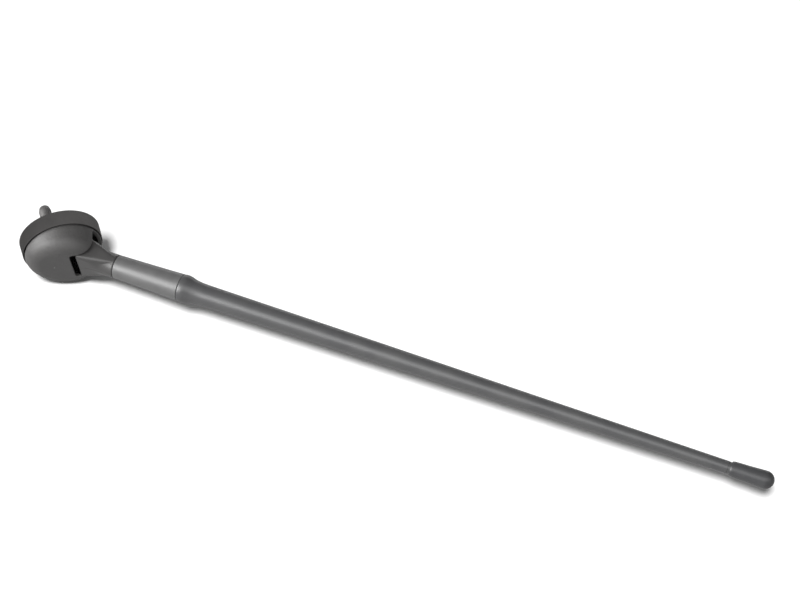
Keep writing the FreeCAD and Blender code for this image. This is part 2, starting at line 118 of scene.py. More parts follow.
def lathe(profile, origin, axes, n, closed):
    """Turned shape from (radius, height) points. Points on the axis become poles."""
    turn = np.linspace(0, 2 * math.pi, n, endpoint=False)
    around = np.outer(np.cos(turn), axes[0]) + np.outer(np.sin(turn), axes[1])
    verts, faces, rows = [], [], []
    for r, h in profile:
        start = len(verts)
        if r < 1e-9:
            verts.append(origin + axes[2] * h)
            rows.append((start, 1))
        else:
            verts.extend(origin + axes[2] * h + around * r)
            rows.append((start, n))
    pairs = list(zip(rows[:-1], rows[1:])) + ([(rows[-1], rows[0])] if closed else [])
    for (a, na), (b, nb) in pairs:
        for k in range(n):
            k2 = (k + 1) % n
            if na == 1 and nb == 1:
                break
            if na == 1:
                faces.append((a, b + k2, b + k))
            elif nb == 1:
                faces.append((a + k, a + k2, b))
            else:
                faces.append((a + k, a + k2, b + k2, b + k))
    return np.array(verts), faces


def new_mesh(name, verts, faces, sharp=32.0):
    me = bpy.data.meshes.new(name)
    me.from_pydata([tuple(float(c) * MM for c in v) for v in verts], [], faces)
    bm = bmesh.new()
    bm.from_mesh(me)
    bmesh.ops.remove_doubles(bm, verts=bm.verts, dist=2e-8)
    bmesh.ops.dissolve_degenerate(bm, edges=bm.edges, dist=2e-8)
    bmesh.ops.recalc_face_normals(bm, faces=bm.faces)
    bm.to_mesh(me)
    bm.free()
    finish_shading(me, sharp)
    return me


def finish_shading(me, sharp):
    me.polygons.foreach_set("use_smooth", [True] * len(me.polygons))
    me.set_sharp_from_angle(angle=math.radians(sharp))
    me.update()


def piece(name, me, body, nodes, material):
    obj = bpy.data.objects.new(name, me)
    bpy.context.scene.collection.objects.link(obj)
    me.materials.clear()
    me.materials.append(material)
    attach(obj, body)
    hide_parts(*nodes)
    return obj


# ------------------------------------------------------------------ materials
def node_of(tree, kind, **inputs):
    node = tree.nodes.new(kind)
    for key, value in inputs.items():
        node.inputs[key].default_value = value
    return node


def surface(name, dark, light, rough, patch=60.0, grain=2600.0, grain_height=0.00002, grain_strength=0.25,
            metallic=0.0, specular=0.5, specks=None, streak=None, coat=0.0, sheen=0.0, detail=5.0):
    """Procedural finish: soft patches of colour, uneven roughness and a fine moulded or cast grain.
    specks adds sparse pale specks of that colour: dust on the other finishes, painted highlight glints on the mast's
    rubber sheath; streak=(long, across) stretches the grain along the mast."""
    mat = bpy.data.materials.new(name)
    mat.use_nodes = True
    tree = mat.node_tree
    shader = tree.nodes["Principled BSDF"]
    shader.inputs["Metallic"].default_value = metallic
    shader.inputs["Specular IOR Level"].default_value = specular
    shader.inputs["Coat Weight"].default_value = coat
    shader.inputs["Sheen Weight"].default_value = sheen
    link = tree.links.new
    where = tree.nodes.new("ShaderNodeTexCoord")
    place = where.outputs["Object"]
    grain_place = place
    if streak:
        turned = node_of(tree, "ShaderNodeMapping")
        turned.inputs["Rotation"].default_value = (0.0, LEAN, 0.0)
        turned.inputs["Scale"].default_value = (streak[0], streak[1], streak[1])
        link(place, turned.inputs["Vector"])
        grain_place = turned.outputs["Vector"]
    patches = node_of(tree, "ShaderNodeTexNoise", Scale=patch, Detail=detail, Roughness=0.6)
    link(place, patches.inputs["Vector"])
    fine = node_of(tree, "ShaderNodeTexNoise", Scale=grain, Detail=3.0, Roughness=0.55)
    link(grain_place, fine.inputs["Vector"])
    ramp = tree.nodes.new("ShaderNodeValToRGB")
    ramp.color_ramp.elements[0].position = 0.34
    ramp.color_ramp.elements[1].position = 0.68
    ramp.color_ramp.elements[0].color = (*dark, 1.0)
    ramp.color_ramp.elements[1].color = (*light, 1.0)
    blend = node_of(tree, "ShaderNodeMath")
    blend.operation = "MULTIPLY_ADD"
    link(fine.outputs["Fac"], blend.inputs[0])
    blend.inputs[1].default_value = 0.35
    scaled = node_of(tree, "ShaderNodeMath")
    scaled.operation = "MULTIPLY"
    scaled.inputs[1].default_value = 0.65
    link(patches.outputs["Fac"], scaled.inputs[0])
    link(scaled.outputs[0], blend.inputs[2])
    link(blend.outputs[0], ramp.inputs["Fac"])
    colour = ramp.outputs["Color"]
    if specks:
        cells = node_of(tree, "ShaderNodeTexVoronoi", Scale=specks[1], Randomness=1.0)
        link(place, cells.inputs["Vector"])
        near = node_of(tree, "ShaderNodeMapRange")
        near.inputs["From Min"].default_value = specks[2]
        near.inputs["From Max"].default_value = specks[2] * 0.45
        link(cells.outputs["Distance"], near.inputs["Value"])
        rare = node_of(tree, "ShaderNodeMapRange")
        rare.inputs["From Min"].default_value = specks[3]
        rare.inputs["From Max"].default_value = specks[3] + 0.02
        part = tree.nodes.new("ShaderNodeSeparateColor")
        link(cells.outputs["Color"], part.inputs["Color"])
        link(part.outputs["Red"], rare.inputs["Value"])
        both = tree.nodes.new("ShaderNodeMath")
        both.operation = "MULTIPLY"
        link(near.outputs["Result"], both.inputs[0])
        link(rare.outputs["Result"], both.inputs[1])
        mix = tree.nodes.new("ShaderNodeMix")
        mix.data_type = "RGBA"
        link(both.outputs[0], mix.inputs["Factor"])
        link(colour, mix.inputs["A"])
        mix.inputs["B"].default_value = (*specks[0], 1.0)
        colour = mix.outputs["Result"]
    link(colour, shader.inputs["Base Color"])
    uneven = node_of(tree, "ShaderNodeMapRange")
    uneven.inputs["From Min"].default_value = 0.3
    uneven.inputs["From Max"].default_value = 0.7
    uneven.inputs["To Min"].default_value = rough[0]
    uneven.inputs["To Max"].default_value = rough[1]
    link(patches.outputs["Fac"], uneven.inputs["Value"])
    link(uneven.outputs["Result"], shader.inputs["Roughness"])
    bump = node_of(tree, "ShaderNodeBump", Strength=grain_strength, Distance=grain_height)
    link(fine.outputs["Fac"], bump.inputs["Height"])
    link(bump.outputs["Normal"], shader.inputs["Normal"])
    return mat


def grey(v, tint=(1.0, 1.0, 1.0)):
    return tuple(v * t for t in tint)


WARM = (1.03, 1.0, 0.985)
COOL = (0.985, 0.99, 1.035)
mat_gasket = surface("rubber_gasket", grey(0.112, WARM), grey(0.145, WARM), (0.8, 0.95), patch=90, grain=3200, specular=0.05,
                     grain_height=0.00003, specks=(grey(0.2), 420.0, 0.10, 0.985))
mat_cover = surface("plastic_cover", grey(0.046, WARM), grey(0.066, WARM), (0.47, 0.58), patch=130, grain=1900, specular=0.62,
                    grain_height=0.00022, grain_strength=0.8, specks=(grey(0.42), 330.0, 0.12, 0.965))
mat_foot = surface("painted_foot", grey(0.036, WARM), grey(0.048, WARM), (0.34, 0.44), patch=150, grain=4200, specular=0.7,
                   grain_height=0.00003)
mat_seal = surface("rubber_seal", grey(0.012), grey(0.022), (0.6, 0.75), patch=300, grain=4000)
mat_ferrule = surface("satin_ferrule", grey(0.078), grey(0.098), (0.38, 0.47), patch=160, grain=2400, specular=0.7,
                      grain_height=0.000012, streak=(0.35, 1.0), specks=(grey(0.32), 300.0, 0.08, 0.985))
# the sheath's pale specks are painted highlight glints, light catching the rubber put into its colour, not dust
mat_sheath = surface("rubber_sheath", grey(0.052, COOL), grey(0.068), (0.35, 0.44), patch=70, grain=2200, specular=0.6,
                     grain_height=0.00003, specks=(grey(0.22), 300.0, 0.08, 0.985))
mat_cap = surface("rubber_cap", grey(0.040, COOL), grey(0.052, COOL), (0.32, 0.42), patch=120, grain=2600, specular=0.45,
                  grain_height=0.00002)
mat_stud = surface("plated_stud", grey(0.085, WARM), grey(0.115, WARM), (0.44, 0.58), patch=260, grain=2600,
                   grain_height=0.00002, metallic=0.25)
mat_plate = surface("plastic_plate", grey(0.035), grey(0.055), (0.5, 0.65), patch=110, grain=3600,
                    grain_height=0.00004)
mat_steel = surface("zinc_plated", grey(0.42), grey(0.62), (0.26, 0.42), patch=240, grain=2600,
                    grain_height=0.00001, metallic=1.0)
mat_black = surface("black_plated", grey(0.028), grey(0.05), (0.45, 0.6), patch=200, grain=2600, metallic=0.3)
mat_brass = surface("turned_brass", (0.56, 0.38, 0.14), (0.74, 0.54, 0.24), (0.24, 0.38), patch=260, grain=2600,
                    grain_height=0.00001, metallic=1.0, streak=(6.0, 0.6))
mat_fibre = surface("pressed_fibre", (0.16, 0.08, 0.045), (0.27, 0.15, 0.09), (0.7, 0.85), patch=400, grain=3000)
mat_rod = surface("glass_fibre", (0.55, 0.52, 0.4), (0.72, 0.69, 0.56), (0.35, 0.5), patch=200, grain=2600,
                  streak=(0.1, 1.5))
mat_copper = surface("enamelled_copper", (0.42, 0.19, 0.1), (0.62, 0.32, 0.18), (0.2, 0.32), patch=200, grain=2600,
                     metallic=1.0, streak=(4.0, 0.2))

for node, mat in (("base_plate", mat_plate), ("cover_screws", mat_steel), ("stud_lock_washer", mat_steel), ("stud_nut", mat_black),
                  ("hinge_bracket", mat_black), ("pivot_screw", mat_black), ("pivot_spring_washer", mat_steel),
                  ("friction_washers", mat_fibre), ("foot_insert", mat_brass), ("core_rod", mat_rod), ("radiator_winding", mat_copper)):
    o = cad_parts[node]
    o.data.materials.clear()
    o.data.materials.append(mat)


# ------------------------------------------------------------------ round base
# Gasket: flat ring under the plate, upright wall, full round lip along the cover.
gasket = rounded([(16.4, 0.0, 0.25), (22.5, 0.0, 0.7), (22.46, 1.2, 1.2), (22.3, 9.2, 0.24), (21.8, 9.2, 0.24), (21.8, 2.0, 0.1), (16.4, 2.0, 0.25)],
                 steps=7, closed=True)
dense = []
for a, b in zip(gasket, np.roll(gasket, -1, axis=0)):
    k = max(1, int(np.linalg.norm(b - a) / 1.2))
    dense.extend(a + (b - a) * j / k for j in range(k))
v, f = lathe(dense, DISC, BASE_AXES, 192, closed=True)
piece("gasket_ring", new_mesh("gasket_ring", v, f), "base", ["base_gasket"], mat_gasket)


# Cover: one shell with a steep cone and a flat crown that rises towards the mast, and a slot whose outer edges are rounded.
def hood_profile(turn, top, slant, cone, knee_r, knee_z, low, edge_round, knee_round):
    """(radius, height) at one turn, from the crown's middle to the skirt's lower edge."""
    m = slant * math.cos(turn)
    n1 = np.array([-m, 1.0]) / math.hypot(m, 1.0)
    n2 = np.array([1.0, cone]) / math.hypot(cone, 1.0)
    c = np.linalg.solve(np.array([n1, n2]), [n1[1] * top - edge_round, n2 @ np.array([knee_r, knee_z]) - edge_round])
    a0, a1 = math.atan2(n1[0], n1[1]), math.atan2(n2[0], n2[1])
    first = c + edge_round * n1
    pts = [(first[0] * k / 30.0, top + (first[1] - top) * k / 30.0) for k in range(30)]
    pts += [(c[0] + edge_round * math.sin(t), c[1] + edge_round * math.cos(t)) for t in np.linspace(a0, a1, 40)]
    lower = rounded([c + edge_round * n2, (knee_r, knee_z, knee_round), (knee_r, low)], steps=24)
    pts += [tuple(p) for p in lower[1:]]
    return np.array(pts)


def with_recess(profile, depth, high, edge):
    """The skirt below height high set back by depth, with a rounded edge above it."""
    fall = profile[int(np.argmax(profile[:, 1])):][::-1]
    keep = [p for p in profile if p[1] > high + edge]
    r = float(np.interp(high, fall[:, 1], fall[:, 0]))
    arc = [(r - edge + edge * math.cos(t), high + edge - edge * math.sin(t)) for t in np.linspace(0, math.pi / 2, 7)]
    return np.array(keep + arc + [(r - depth + 0.1, high), (r - depth, high - 0.1), (r - depth, profile[-1][1])])


class Hood:
    """A closed surface round the base axis, addressed by (distance from the crown's middle, turn) on a flat map."""

    TURNS, STEPS = 180, 480

    def __init__(self, profile_at, split):
        rows, parts = [], []
        for k in range(self.TURNS):
            p = profile_at(2 * math.pi * k / self.TURNS)
            t = np.concatenate([[0], np.cumsum(np.linalg.norm(np.diff(p, axis=0), axis=1))])
            peak = int(np.argmax(p[:, 1]))
            fall = np.arange(len(p) - 1, peak - 1, -1)
            parts.append((p, t, float(np.interp(split, p[fall, 1], t[fall]))))
        below = parts[0][1][-1] - parts[0][2]
        above = sum(q[2] for q in parts) / len(parts)
        self.span = above + below
        self.t = np.linspace(0.0, self.span, self.STEPS)
        for p, t, at in parts:
            own = np.where(self.t < above, self.t * at / above, at + (self.t - above) * (t[-1] - at) / below)
            rows.append(np.stack([np.interp(own, t, p[:, 0]), np.interp(own, t, p[:, 1])], axis=1))
        self.rows = np.array(rows)

    def profile(self, turn):
        q = (turn / (2 * math.pi) * self.TURNS) % self.TURNS
        k = int(q)
        return self.rows[k % self.TURNS] * (1 - q + k) + self.rows[(k + 1) % self.TURNS] * (q - k)

    def at(self, flat):
        out = []
        for x, y in flat:
            turn = math.atan2(y, x)
            p = self.profile(turn)
            t = math.hypot(x, y)
            r, z = float(np.interp(t, self.t, p[:, 0])), float(np.interp(t, self.t, p[:, 1]))
            out.append((DISC[0] + r * math.cos(turn), r * math.sin(turn), z))
        return np.array(out)

    def from_plan(self, x, y):
        r = math.hypot(x, y)
        turn = math.atan2(y, x)
        p = self.profile(turn)
        n = int(np.argmax(p[:, 0])) + 1
        return np.array([math.cos(turn), math.sin(turn)]) * float(np.interp(r, p[:n, 0], self.t[:n]))

    def at_height(self, z, turn):
        p = self.profile(turn)
        i = np.arange(len(p) - 1, int(np.argmax(p[:, 1])) - 1, -1)
        return np.array([math.cos(turn), math.sin(turn)]) * float(np.interp(z, p[i, 1], self.t[i]))

    def radius_at(self, z):
        p = self.profile(0.0)
        i = np.arange(len(p) - 1, int(np.argmax(p[:, 1])) - 1, -1)
        return float(np.interp(z, p[i, 1], p[i, 0]))


def slot_loop(surf, front, half, corner, floor, lower):
    """The slot's edge on a turned surface as points of its flat map, the same count on every surface."""
    pts = []
    for y in np.linspace(0, half - corner, 16, endpoint=False):
        pts.append(surf.from_plan(front, y))
    for a in np.linspace(math.pi, math.pi / 2, 14, endpoint=False):
        pts.append(surf.from_plan(front + corner + corner * math.cos(a), half - corner + corner * math.sin(a)))
    reach = math.sqrt(surf.radius_at(floor) ** 2 - half ** 2)
    side = [surf.from_plan(x, half) for x in np.linspace(front + corner, reach, 60)]
    end = math.atan2(half, reach)
    rear = [surf.at_height(floor, a) for a in np.linspace(end, 0, 30)]
    # round the lower corner: leave out the last stretch on both sides and bridge it with a curve
    corner_at = side[-1]

    def trim(line, gap):
        keep = [p for p in line if np.linalg.norm(p - corner_at) > gap]
        return keep

    side_kept, rear_kept = trim(side[:-1], lower), trim(rear[1:], lower)
    d1 = side_kept[-1] - corner_at
    d2 = rear_kept[0] - corner_at
    p0, p2 = corner_at + d1 / np.linalg.norm(d1) * lower, corner_at + d2 / np.linalg.norm(d2) * lower

    def spread(line, count):
        line = np.array(line)
        s = np.concatenate([[0], np.cumsum(np.linalg.norm(np.diff(line, axis=0), axis=1))])
        w = np.linspace(0, s[-1], count)
        return [np.array([np.interp(q, s, line[:, 0]), np.interp(q, s, line[:, 1])]) for q in w]

    pts += spread(side_kept + [p0], 48)[:-1]
    for t in np.linspace(0, 1, 14, endpoint=False):
        pts.append((1 - t) ** 2 * p0 + 2 * t * (1 - t) * corner_at + t * t * p2)
    pts += spread([p2] + rear_kept, 22)
    pts = np.array(pts)
    mirror = pts[-2:0:-1] * np.array([1.0, -1.0])
    return np.concatenate([pts, mirror])


outer = Hood(lambda turn: with_recess(hood_profile(turn, 22.4, 0.27, 0.24, 21.5, 11.0, 5.0, 8.8, 7.0), 0.7, 9.75, 0.3), 10.4)
inner = Hood(lambda turn: hood_profile(turn, 20.5, 0.27, 0.24, 19.6, 10.8, 5.0, 6.8, 5.0), 9.6)
EDGE = 0.55
HALF = 10.4
wide = slot_loop(outer, 2.4 - EDGE, HALF + EDGE, 2.0 + EDGE, 10.7 - EDGE, 1.6 + EDGE)
sharp_edge = outer.at(slot_loop(outer, 2.4, HALF, 2.0, 10.7, 1.6))
inside_flat = slot_loop(inner, 2.4, HALF, 2.0, 10.7, 1.6)
inside = inner.at(inside_flat)


def out_to_rim(surf, loop, count, power):
    """Rings from the slot's edge out to the lower rim, on the flat map."""
    middle = loop.mean(axis=0)
    rim = surf.span
    d = loop - middle
    d = d / np.linalg.norm(d, axis=1)[:, None]
    b = d @ middle
    far = -b + np.sqrt(b * b + rim * rim - middle @ middle)
    end = middle + d * far[:, None]
    return [surf.at(loop + (end - loop) * (k / count) ** power) for k in range(count + 1)]


rings = out_to_rim(outer, wide, 72, 1.35)[::-1]
a = rings[-1]
into = inside - sharp_edge
into = into / np.linalg.norm(into, axis=1)[:, None]
w = sharp_edge + into * EDGE
for t in np.linspace(0, 1, 9)[1:]:
    q = 0.72
    rings.append(((1 - t) ** 2 * a + 2 * q * t * (1 - t) * sharp_edge + t * t * w) / ((1 - t) ** 2 + 2 * q * t * (1 - t) + t * t))
for t in np.linspace(0, 1, 5)[1:]:
    rings.append(w + (inside - w) * t)
rings += out_to_rim(inner, inside_flat, 26, 1.2)[1:]
v, f = rings_to_mesh(rings, closed=True)
piece("dome_cover", new_mesh("dome_cover", v, f, 40.0), "base", ["base_cover"], mat_cover)

# Stud: threaded shank, flange, smooth tapered nose with a rounded end.
shank = rounded([(0.0, -20.9), (2.6, -20.9, 1.7), (3.45, -17.6, 1.2), (3.45, -14.0)], steps=10)
rows = [tuple(p) for p in shank]
turn = np.linspace(0, 2 * math.pi, 72, endpoint=False)
around = np.outer(np.cos(turn), BASE_AXES[0]) + np.outer(np.sin(turn), BASE_AXES[1])
PITCH = 1.0
verts, faces, rings = [np.array([0.0, 0.0, -20.9])], [], []
for r, z in rows[1:]:
    rings.append(around * r + np.array([0, 0, z]))
for z in np.arange(-14.0 + PITCH / 10, 1.2, PITCH / 10):
    phase = (z / PITCH - turn / (2 * math.pi)) % 1.0
    tooth = np.clip(np.abs(phase - 0.5) * 2.6 - 0.25, 0.0, 1.0)
    fade = min(1.0, (z + 14.0) / 1.2, (1.2 - z) / 0.8)
    rings.append(around * (3.45 - 0.5 * max(fade, 0.0) * (1 - tooth))[:, None] + np.array([0, 0, z]))
top = rounded([(3.45, 1.3), (3.45, 2.0), (6.5, 2.0, 0.3), (6.5, 3.6), (3.0, 3.6), (3.0, 11.4), (2.4, 12.0), (0.0, 12.0)], steps=5)
for r, z in top[:-1]:
    rings.append(around * r + np.array([0, 0, z]))
n = len(turn)
for i, ring in enumerate(rings):
    verts.extend(ring)
for k in range(n):
    faces.append((0, 1 + k, 1 + (k + 1) % n))
for i in range(len(rings) - 1):
    p, q = 1 + i * n, 1 + (i + 1) * n
    for k in range(n):
        faces.append((p + k, p + (k + 1) % n, q + (k + 1) % n, q + k))
last = 1 + (len(rings) - 1) * n
verts.append(np.array([0.0, 0.0, 12.0]))
for k in range(n):
    faces.append((last + k, last + (k + 1) % n, len(verts) - 1))
piece("roof_stud", new_mesh("roof_stud", verts, faces, 50.0), "base", ["mounting_stud"], mat_stud)


# ------------------------------------------------------------------ foot
TOP, SIDE, CORNER = 40, 18, 10


def square_section(half, high, edge):
    """Rounded rectangle in (N, Y), from the top side round by +Y, the underside and -Y."""
    pts = []

    def run(p, q, count):
        pts.extend(np.array(p) + (np.array(q) - np.array(p)) * k / count for k in range(count))

    def arc(cx, cy, start, count):
        for k in range(count):
            a = math.radians(start - 90.0 * k / count)
            pts.append(np.array([cy + edge * math.sin(a), cx + edge * math.cos(a)]))

    h, n = half - edge, high - edge
    run((high, -h), (high, h), TOP)
    arc(h, n, 90, CORNER)
    run((n, half), (-n, half), SIDE)
    arc(h, -n, 0, CORNER)
    run((-high, h), (-high, -h), TOP)
    arc(-h, -n, -90, CORNER)
    run((-n, -half), (n, -half), SIDE)
    arc(-h, n, 180, CORNER)
    return np.array(pts)


def round_section(radius):
    """Circle with its points shared out so that the block's flat sides end in narrow strips."""
    turns = []
    for start, end, count in ((-74, 74, TOP), (74, 82, CORNER), (82, 98, SIDE), (98, 106, CORNER), (106, 254, TOP), (254, 262, CORNER),
                              (262, 278, SIDE), (278, 286, CORNER)):
        turns.extend(start + (end - start) * k / count for k in range(count))
    t = np.radians(turns)
    return np.stack([radius * np.cos(t), radius * np.sin(t)], axis=1)


back, knee, tip = square_section(10.1, 7.4, 1.2), square_section(8.6, 6.3, 3.4), round_section(6.61)


def section_at(s):
    if s <= -11.0:
        return back + (knee - back) * (s + 20.0) / 9.0
    return knee + (tip - knee) * (s + 11.0) / 11.0


def soft_section(s):
    """Section with the bends spread over a few millimetres."""
    reach = max(0.0, min(3.6, -s, s + 20.0))
    return sum(section_at(min(0.0, s + d)) for d in np.linspace(-reach, reach, 9)) / 9


def place(section, s):
    return JOINT + np.outer(section[:, 0], N) + np.outer(section[:, 1], Y) + M * s


def shrink(section, d):
    size = np.linalg.norm(section, axis=1)[:, None]
    return section * (1 - d / size)


rings = []
for t in np.linspace(0, math.pi / 2, 6)[:-1]:
    rings.append(place(shrink(back, 0.5 * (1 - math.sin(t))), -20.0 + 0.5 * (1 - math.cos(t))))
stations = [-19.5] + list(np.arange(-19.1, -0.3, 0.4)) + [-0.25]
for s in stations:
    sec = soft_section(s).copy()
    # fine parting line along the middle of the top
    if -17.4 < s < -4.6:
        ease = min(1.0, (s + 17.4) / 1.0, (-4.6 - s) / 1.0)
        near = np.abs(sec[:, 1])
        on_top = sec[:, 0] > 4.0
        sec[:, 0] -= np.where(on_top, 0.2 * ease * np.clip(1.0 - near / 0.36, 0, 1), 0.0)
    rings.append(place(sec, s))
for t in np.linspace(0, math.pi / 2, 6)[1:]:
    rings.append(place(shrink(tip, 0.25 * (1 - math.cos(t))), -0.25 + 0.25 * math.sin(t)))
bore = round_section(4.0)
rings.append(place(bore, 0.0))
rings.append(place(bore, -10.5))
v, f = rings_to_mesh(rings, closed=False)
v = list(v)
count = len(rings[0])
v.append(JOINT + M * -20.0)
f += [(k, (k + 1) % count, len(v) - 1) for k in range(count)]
v.append(JOINT + M * -10.5)
low = (len(rings) - 1) * count
f += [(low + k, low + (k + 1) % count, len(v) - 1) for k in range(count)]
foot_mesh = new_mesh("tilt_foot", v, f, 30.0)

# the tongue on the pivot, joined to the block, and the pivot's bore
at = PIVOT - JOINT
ps, pn = float(at @ M), float(at @ N)
stadium = [(-18.7, pn + 4.36), (ps, pn + 4.36)]
stadium += [(ps - 4.36 * math.sin(t), pn + 4.36 * math.cos(t)) for t in np.linspace(0, math.pi, 40)[1:-1]]
stadium += [(ps, pn - 4.36), (-18.7, pn - 4.36)]
rings = [np.array([JOINT + M * s + N * n + Y * y for s, n in stadium]) for y in (-7.95, 7.95)]
v, f = rings_to_mesh(rings, closed=False)
k = len(stadium)
f += [tuple(range(k - 1, -1, -1)), tuple(range(k, 2 * k))]
tongue_mesh = new_mesh("tongue", v, f)
turns = np.linspace(0, 2 * math.pi, 64, endpoint=False)
rings = [np.array([PIVOT + M * 2.06 * math.cos(t) + N * 2.06 * math.sin(t) + Y * y for t in turns]) for y in (-12.0, 12.0)]
v, f = rings_to_mesh(rings, closed=False)
f += [tuple(range(63, -1, -1)), tuple(range(64, 128))]
bore_mesh = new_mesh("bore", v, f)


def combine(me, tools):
    """me joined with or cut by the tool meshes, as one closed mesh."""
    host = bpy.data.objects.new("host", me)
    bpy.context.scene.collection.objects.link(host)
    helpers = []
    for tool, how in tools:
        o = bpy.data.objects.new("tool", tool)
        bpy.context.scene.collection.objects.link(o)
        mod = host.modifiers.new(how, "BOOLEAN")
        mod.operation, mod.solver, mod.object = how, "EXACT", o
        helpers.append(o)
    bpy.context.view_layer.update()
    made = bpy.data.meshes.new_from_object(host.evaluated_get(bpy.context.evaluated_depsgraph_get()))
    for o in [host] + helpers:
        bpy.data.objects.remove(o)
    return made


foot_mesh = combine(foot_mesh, [(tongue_mesh, "UNION"), (bore_mesh, "DIFFERENCE")])
foot_mesh.name = "tilt_foot"
finish_shading(foot_mesh, 30.0)
piece("tilt_foot", foot_mesh, "foot", ["swivel_foot"], mat_foot)

# ------------------------------------------------------------------ mast
ring = rounded([(4.2, 0.03, 0.05), (6.35, 0.03, 0.1), (6.35, 0.44, 0.1), (4.2, 0.44, 0.05)], steps=4, closed=True)
v, f = lathe(ring, JOINT, MAST_AXES, 96, closed=True)
piece("joint_seal", new_mesh("joint_seal", v, f), "seal", ["mast_seal"], mat_seal)

wall = [(6.6 + 0.01822 * s + 0.000178 * s * s, s) for s in np.linspace(0.75, 39.1, 60)]
tube = [(0.0, 14.0), (2.45, 14.0), (2.45, 0.45)]
tube += [tuple(p) for p in rounded([(2.45, 0.45), (wall[0][0], 0.45, 0.28), wall[0]], steps=6)[1:-1]]
tube += wall
tube += [tuple(p) for p in rounded([wall[-1], (7.6, 39.5, 0.3), (1.5, 39.5)], steps=6)[1:]]
tube += [(1.5, 16.0), (0.0, 16.0)]
v, f = lathe(tube, JOINT, MAST_AXES, 144, closed=False)
piece("satin_ferrule", new_mesh("satin_ferrule", v, f), "mast", ["mast_ferrule"], mat_ferrule)

PITCH = 0.8
turn = np.linspace(0, 2 * math.pi, 60, endpoint=False)
around = np.outer(np.cos(turn), N) + np.outer(np.sin(turn), Y)
verts, faces, rings = [JOINT + M * -9.6], [], []
rings.append(JOINT + around * 1.9 - M * 9.6)
for s in np.arange(-9.1, 14.0, PITCH / 10):
    phase = (s / PITCH + turn / (2 * math.pi)) % 1.0
    tooth = np.clip(np.abs(phase - 0.5) * 2.6 - 0.25, 0.0, 1.0)
    fade = min(1.0, (s + 9.6) / 0.9, max(0.0, (0.4 - s) / 0.8))
    rings.append(JOINT + around * (2.45 - 0.36 * fade * (1 - tooth))[:, None] + M * s)
n = len(turn)
for ring in rings:
    verts.extend(ring)
for k in range(n):
    faces.append((0, 1 + k, 1 + (k + 1) % n))
for i in range(len(rings) - 1):
    p, q = 1 + i * n, 1 + (i + 1) * n
    for k in range(n):
        faces.append((p + k, p + (k + 1) % n, q + (k + 1) % n, q + k))
last = 1 + (len(rings) - 1) * n
verts.append(JOINT + M * 14.0)
for k in range(n):
    faces.append((last + k, last + (k + 1) % n, len(verts) - 1))
piece("threaded_stud", new_mesh("threaded_stud", verts, faces, 50.0), "mast", ["mast_stud"], mat_brass)

SHEATH = [(39.65, 7.42), (39.85, 7.6), (40.2, 7.7), (40.9, 7.78), (41.9, 7.8), (43.1, 7.66), (44.9, 7.2), (46.7, 6.74), (48.5, 6.44), (50.5, 6.23),
          (53.3, 6.11), (59.3, 6.02), (91.1, 5.77), (139.0, 5.4), (188.8, 4.92), (238.7, 4.36), (298.5, 3.8), (349.1, 3.3)]
near = smooth_curve([p for p in SHEATH if p[0] <= 59.3], 0.3)
far = smooth_curve([p for p in SHEATH if p[0] >= 59.3], 3.0)
skin = [(1.8, 39.65)] + [(r, s) for s, r in near] + [(r, s) for s, r in far[1:]]
skin += [(3.15, 349.2), (3.15, 360.4), (0.0, 360.4), (0.0, 356.5), (1.5, 356.5), (1.5, 354.5), (1.8, 354.5)]
v, f = lathe(skin + [(1.8, 39.65)], JOINT, MAST_AXES, 112, closed=False)
piece("mast_skin", new_mesh("mast_skin", v, f), "mast", ["mast_sheath"], mat_sheath)

club = smooth_curve([(350.65, 3.72), (351.1, 3.88), (351.8, 3.99), (352.8, 4.06), (359.9, 4.27), (364.4, 4.5), (367.6, 4.64), (368.7, 4.66)], 0.3)
cap = [(3.16, 350.4)] + [tuple(p) for p in rounded([(3.16, 350.4), (3.68, 350.4, 0.2), (3.72, 350.65)], steps=4)[1:-1]]
cap += [(r, s) for s, r in club]
cap += [tuple(p) for p in rounded([(4.66, 368.7), (4.66, 373.3, 4.58), (0.0, 373.3)], steps=28)[1:]]
v, f = lathe([(0.0, 360.5), (3.16, 360.5)] + cap, JOINT, MAST_AXES, 112, closed=False)
piece("club_cap", new_mesh("club_cap", v, f, 40.0), "mast", ["tip_cap"], mat_cap)

# ------------------------------------------------------------------ camera
RIGHT = Vector((0.95232, -0.0664, 0.29777)).normalized()
FORWARD = Vector((0.09931, -0.85541, -0.50834)).normalized()
DOWN = FORWARD.cross(RIGHT).normalized()
camera = bpy.data.cameras.new("view")
camera.sensor_fit = "HORIZONTAL"
camera.sensor_width = 36.0
camera.lens = 97.2
camera.clip_start, camera.clip_end = 0.01, 50.0
cam = bpy.data.objects.new("view", camera)
bpy.context.scene.collection.objects.link(cam)
spot = Vector((54.73, 992.84, 693.94)) * MM
cam.matrix_world = Matrix(((RIGHT.x, -DOWN.x, -FORWARD.x, spot.x), (RIGHT.y, -DOWN.y, -FORWARD.y, spot.y),
                           (RIGHT.z, -DOWN.z, -FORWARD.z, spot.z), (0, 0, 0, 1)))
bpy.context.scene.camera = cam

# ------------------------------------------------------------------ floor and light
TILT = math.radians(49.9)
UP = (-math.cos(TILT) * DOWN - math.sin(TILT) * FORWARD).normalized()
FRONT = (math.sin(TILT) * DOWN - math.cos(TILT) * FORWARD).normalized()
SIDE_WAY = RIGHT
centre = Vector((150.0, 0.0, 140.0)) * MM
bpy.context.view_layer.update()
part_meshes = [o for o in bpy.context.scene.objects if o.type == "MESH"]
lowest = min(UP.dot(o.matrix_world @ v.co) for o in part_meshes for v in o.data.vertices)
foot_of = centre + UP * (lowest - 0.3 * MM - UP.dot(centre))
size = 6.0
me = bpy.data.meshes.new("table")
me.from_pydata([tuple(foot_of + SIDE_WAY * a * size + FRONT * b * size) for a, b in ((-1, 1), (1, 1), (1, -1), (-1, -1))], [], [(0, 1, 2, 3)])
me.update()
floor = bpy.data.objects.new("table", me)
bpy.context.scene.collection.objects.link(floor)
if me.polygons[0].normal.dot(UP) < 0:
    me.flip_normals()
paper = bpy.data.materials.new("pale_floor")
